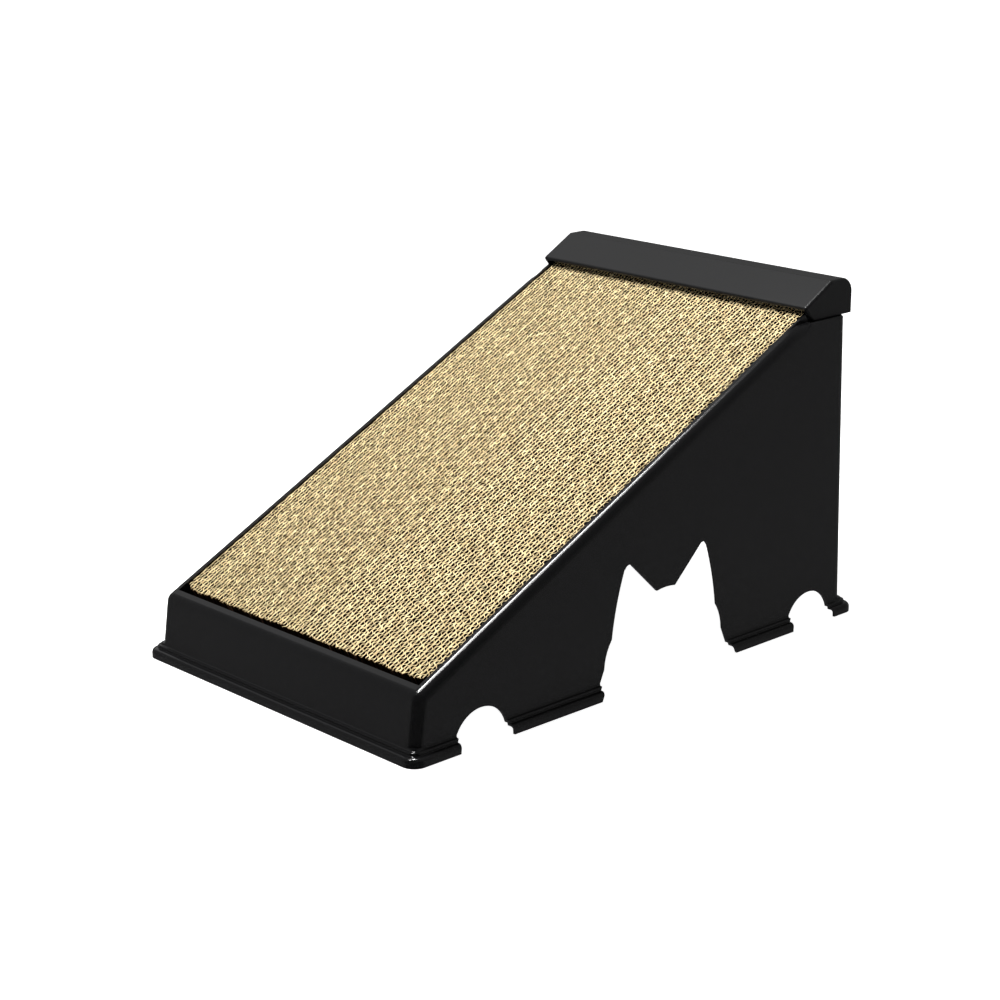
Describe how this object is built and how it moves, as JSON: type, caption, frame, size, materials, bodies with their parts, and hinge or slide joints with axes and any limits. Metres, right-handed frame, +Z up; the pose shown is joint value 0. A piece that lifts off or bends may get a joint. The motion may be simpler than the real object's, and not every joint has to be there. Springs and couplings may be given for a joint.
{
  "type": "cat scratching ramp",
  "caption": "Free-standing cat scratching ramp: moulded housing with cat-head cut-outs, lift-off end cap and a corrugated cardboard pad.",
  "frame": {"origin": "centre of the base, on the plane the skirt stands on", "axes": "+Y climbs the ramp, from the low front to the high back; +Z up; +X to the right of someone climbing the ramp"},
  "size_m": [0.26, 0.402, 0.2305],
  "materials": {
    "housing": "satin",
    "cap": "satin",
    "pad_left": "rough, cut edges of corrugated board",
    "pad_right": "rough, cut edges of corrugated board"
  },
  "bodies": {
    "housing": {"housing": "housing"},
    "cap": {"top_cap": "cap"},
    "pad": {"pad_strip_01": "pad_left", "pad_strip_02": "pad_left", "pad_strip_03": "pad_left", "pad_strip_04": "pad_left", "pad_strip_05": "pad_left", "pad_strip_06": "pad_left", "pad_strip_07": "pad_left", "pad_strip_08": "pad_left", "pad_strip_09": "pad_left", "pad_strip_10": "pad_left", "pad_strip_11": "pad_left", "pad_strip_12": "pad_left", "pad_strip_13": "pad_left", "pad_strip_14": "pad_left", "pad_strip_15": "pad_left", "pad_strip_16": "pad_left", "pad_strip_17": "pad_left", "pad_strip_18": "pad_left", "pad_strip_19": "pad_left", "pad_strip_20": "pad_left", "pad_strip_21": "pad_right", "pad_strip_22": "pad_right", "pad_strip_23": "pad_right", "pad_strip_24": "pad_right", "pad_strip_25": "pad_right", "pad_strip_26": "pad_right", "pad_strip_27": "pad_right", "pad_strip_28": "pad_right", "pad_strip_29": "pad_right", "pad_strip_30": "pad_right", "pad_strip_31": "pad_right", "pad_strip_32": "pad_right", "pad_strip_33": "pad_right", "pad_strip_34": "pad_right", "pad_strip_35": "pad_right", "pad_strip_36": "pad_right", "pad_strip_37": "pad_right", "pad_strip_38": "pad_right", "pad_strip_39": "pad_right"}
  },
  "joints": [
    {"name": "cap_lift", "type": "slide", "parent": "housing", "child": "cap", "axis": [0, 0, 1], "range_m": [0, 0.08]},
    {"name": "pad_lift", "type": "slide", "parent": "housing", "child": "pad", "axis": [0, -0.4462, 0.8949], "range_m": [0, 0.04]}
  ],
  "couplings": [
    {"joint": "pad_lift", "follows": "cap_lift", "ratio": 0.5}
  ]
}
